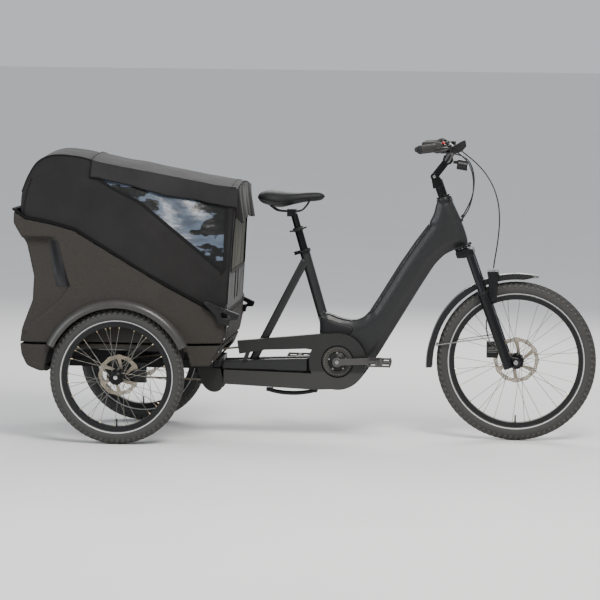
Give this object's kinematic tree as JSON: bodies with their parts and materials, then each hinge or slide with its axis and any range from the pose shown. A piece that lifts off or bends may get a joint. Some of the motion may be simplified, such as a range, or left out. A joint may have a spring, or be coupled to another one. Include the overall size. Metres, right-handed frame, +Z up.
{
  "type": "cargo bicycle",
  "caption": "Leaning cargo cycle with a step-through frame and a canopied passenger box between its rear wheels.",
  "frame": {"origin": "on the ground, under the middle of the machine's overall length, on its centre plane", "axes": "+X towards the front wheel, +Y to the rider's left, +Z up"},
  "size_m": [2.254, 0.86, 1.1722],
  "materials": {
    "tyre": "matte rubber",
    "rim": "black anodised",
    "spoke": "drawn",
    "hub": "black anodised",
    "rotor": "ground",
    "axle_steel": "satin",
    "foam_box": "textured",
    "black_trim": "satin",
    "cushion_fabric": "woven",
    "canopy_fabric": "coated weave",
    "window_film": "clear flexible film",
    "frame_paint": "matte powder coat",
    "chassis_paint": "powder coat",
    "battery_case": "moulded",
    "drive_case": "cast, painted",
    "guard_plastic": "moulded",
    "chain_steel": "oiled",
    "crank_alloy": "black anodised",
    "pedal_plastic": "moulded",
    "post_alloy": "black anodised",
    "saddle_cover": "soft synthetic",
    "fork_paint": "satin",
    "mudguard_plastic": "satin moulded",
    "bar_alloy": "black anodised",
    "grip_rubber": "textured",
    "lamp": "moulded",
    "cable_sheath": "smooth"
  },
  "bodies": {
    "cargo_module": {"box_shell": "foam_box", "box_base": "foam_box", "rim_rail": "black_trim", "wheel_arches": "black_trim", "side_handles": "black_trim", "seat_cushions": "cushion_fabric", "canopy_cover": "canopy_fabric", "canopy_windows": "window_film", "rear_chassis": "chassis_paint", "tilt_housing": "chassis_paint", "rear_calipers": "chassis_paint", "differential_housing": "chassis_paint", "chain_rear": "chain_steel"},
    "right_rear_wheel": {"right_rear_tyre": "tyre", "right_rear_rim": "rim", "right_rear_spokes": "spoke", "right_rear_hub": "axle_steel"},
    "left_rear_wheel": {"left_rear_tyre": "tyre", "left_rear_rim": "rim", "left_rear_spokes": "spoke", "left_rear_hub": "axle_steel"},
    "drive_sprocket": {"rear_sprocket": "chain_steel"},
    "front_frame": {"main_frame": "frame_paint", "rear_frame": "frame_paint", "battery_cover": "frame_paint", "battery": "battery_case", "drive_unit": "drive_case", "chain_guard": "guard_plastic", "chain_front": "chain_steel", "seat_clamp": "post_alloy", "control_cables": "cable_sheath"},
    "crank": {"crank_arms": "crank_alloy", "crank_spindle": "axle_steel", "chainring": "chain_steel"},
    "right_pedal": {"right_pedal": "pedal_plastic"},
    "left_pedal": {"left_pedal": "pedal_plastic"},
    "kickstand": {"kickstand": "post_alloy"},
    "seat_clamp_lever": {"seat_clamp_lever": "post_alloy"},
    "outer_post": {"seatpost_lower": "post_alloy"},
    "inner_post": {"seatpost_upper": "post_alloy", "saddle": "saddle_cover"},
    "steering": {"fork_upper": "fork_paint", "stem_base": "bar_alloy"},
    "fork_lowers": {"fork_lowers": "fork_paint", "front_axle": "axle_steel", "front_caliper": "chassis_paint", "mudguard": "mudguard_plastic", "front_brake_hose": "cable_sheath"},
    "front_wheel": {"front_tyre": "tyre", "front_rim": "rim", "front_spokes": "spoke", "front_hub": "hub", "front_rotor": "rotor"},
    "handlebar": {"stem_link": "bar_alloy", "handlebar": "bar_alloy", "grips": "grip_rubber", "control_pods": "black_trim", "headlight": "lamp"},
    "right_brake_lever": {"right_brake_lever": "bar_alloy"},
    "left_brake_lever": {"left_brake_lever": "bar_alloy"}
  },
  "joints": [
    {"name": "tilt", "type": "hinge", "parent": "cargo_module", "child": "front_frame", "pos_m": [-0.392, 0, 0.238], "axis": [1, 0, 0], "range_deg": [-15, 15], "stiffness_Nm_per_rad": 400},
    {"name": "steering", "type": "hinge", "parent": "front_frame", "child": "steering", "pos_m": [0.519, 0, 0.949], "axis": [-0.342, 0, 0.9397], "range_deg": [-40, 40], "deforming": ["control_cables"]},
    {"name": "fork_travel", "type": "slide", "parent": "steering", "child": "fork_lowers", "axis": [-0.342, 0, 0.9397], "range_m": [0, 0.06], "stiffness_N_per_m": 8000, "springref_m": -0.05, "deforming": ["front_brake_hose"]},
    {"name": "front_wheel_spin", "type": "hinge", "parent": "fork_lowers", "child": "front_wheel", "pos_m": [0.814, 0, 0.313], "axis": [0, 1, 0], "continuous": true},
    {"name": "right_rear_wheel_spin", "type": "hinge", "parent": "cargo_module", "child": "right_rear_wheel", "pos_m": [-0.712, -0.385, 0.261], "axis": [0, 1, 0], "continuous": true},
    {"name": "left_rear_wheel_spin", "type": "hinge", "parent": "cargo_module", "child": "left_rear_wheel", "pos_m": [-0.712, 0.385, 0.261], "axis": [0, 1, 0], "continuous": true},
    {"name": "crank_spin", "type": "hinge", "parent": "front_frame", "child": "crank", "pos_m": [0.115, 0, 0.303], "axis": [0, 1, 0], "continuous": true},
    {"name": "sprocket_spin", "type": "hinge", "parent": "cargo_module", "child": "drive_sprocket", "pos_m": [-0.712, -0.048, 0.261], "axis": [0, 1, 0], "continuous": true},
    {"name": "right_pedal_spin", "type": "hinge", "parent": "crank", "child": "right_pedal", "pos_m": [0.28477, -0.16, 0.3119], "axis": [0, 1, 0], "continuous": true},
    {"name": "left_pedal_spin", "type": "hinge", "parent": "crank", "child": "left_pedal", "pos_m": [-0.05477, 0.16, 0.2941], "axis": [0, 1, 0], "continuous": true},
    {"name": "kickstand_pivot", "type": "hinge", "parent": "front_frame", "child": "kickstand", "pos_m": [0.026, -0.017, 0.182], "axis": [0, -1, 0], "range_deg": [0, 65]},
    {"name": "seat_clamp_open", "type": "hinge", "parent": "front_frame", "child": "seat_clamp_lever", "pos_m": [-0.05858, 0, 0.72258], "axis": [0.2857, 0, -0.9583], "range_deg": [0, 90]},
    {"name": "outer_post_height", "type": "slide", "parent": "front_frame", "child": "outer_post", "axis": [-0.2857, 0, 0.9583], "range_m": [-0.06, 0.08]},
    {"name": "inner_post_height", "type": "slide", "parent": "outer_post", "child": "inner_post", "axis": [-0.2857, 0, 0.9583], "range_m": [-0.035, 0.1]},
    {"name": "stem_angle", "type": "hinge", "parent": "steering", "child": "handlebar", "pos_m": [0.482, 0, 1.033], "axis": [0, 1, 0], "range_deg": [-15, 30], "deforming": ["control_cables", "front_brake_hose"]},
    {"name": "right_brake_pull", "type": "hinge", "parent": "handlebar", "child": "right_brake_lever", "pos_m": [0.54789, -0.24641, 1.15492], "axis": [0, 0, -1], "range_deg": [0, 12], "stiffness_Nm_per_rad": 2, "springref_deg": -17.19},
    {"name": "left_brake_pull", "type": "hinge", "parent": "handlebar", "child": "left_brake_lever", "pos_m": [0.54789, 0.24641, 1.15492], "axis": [0, 0, 1], "range_deg": [0, 12], "stiffness_Nm_per_rad": 2, "springref_deg": -17.19}
  ],
  "couplings": [
    {"joint": "sprocket_spin", "follows": "crank_spin", "ratio": 2.5556}
  ]
}
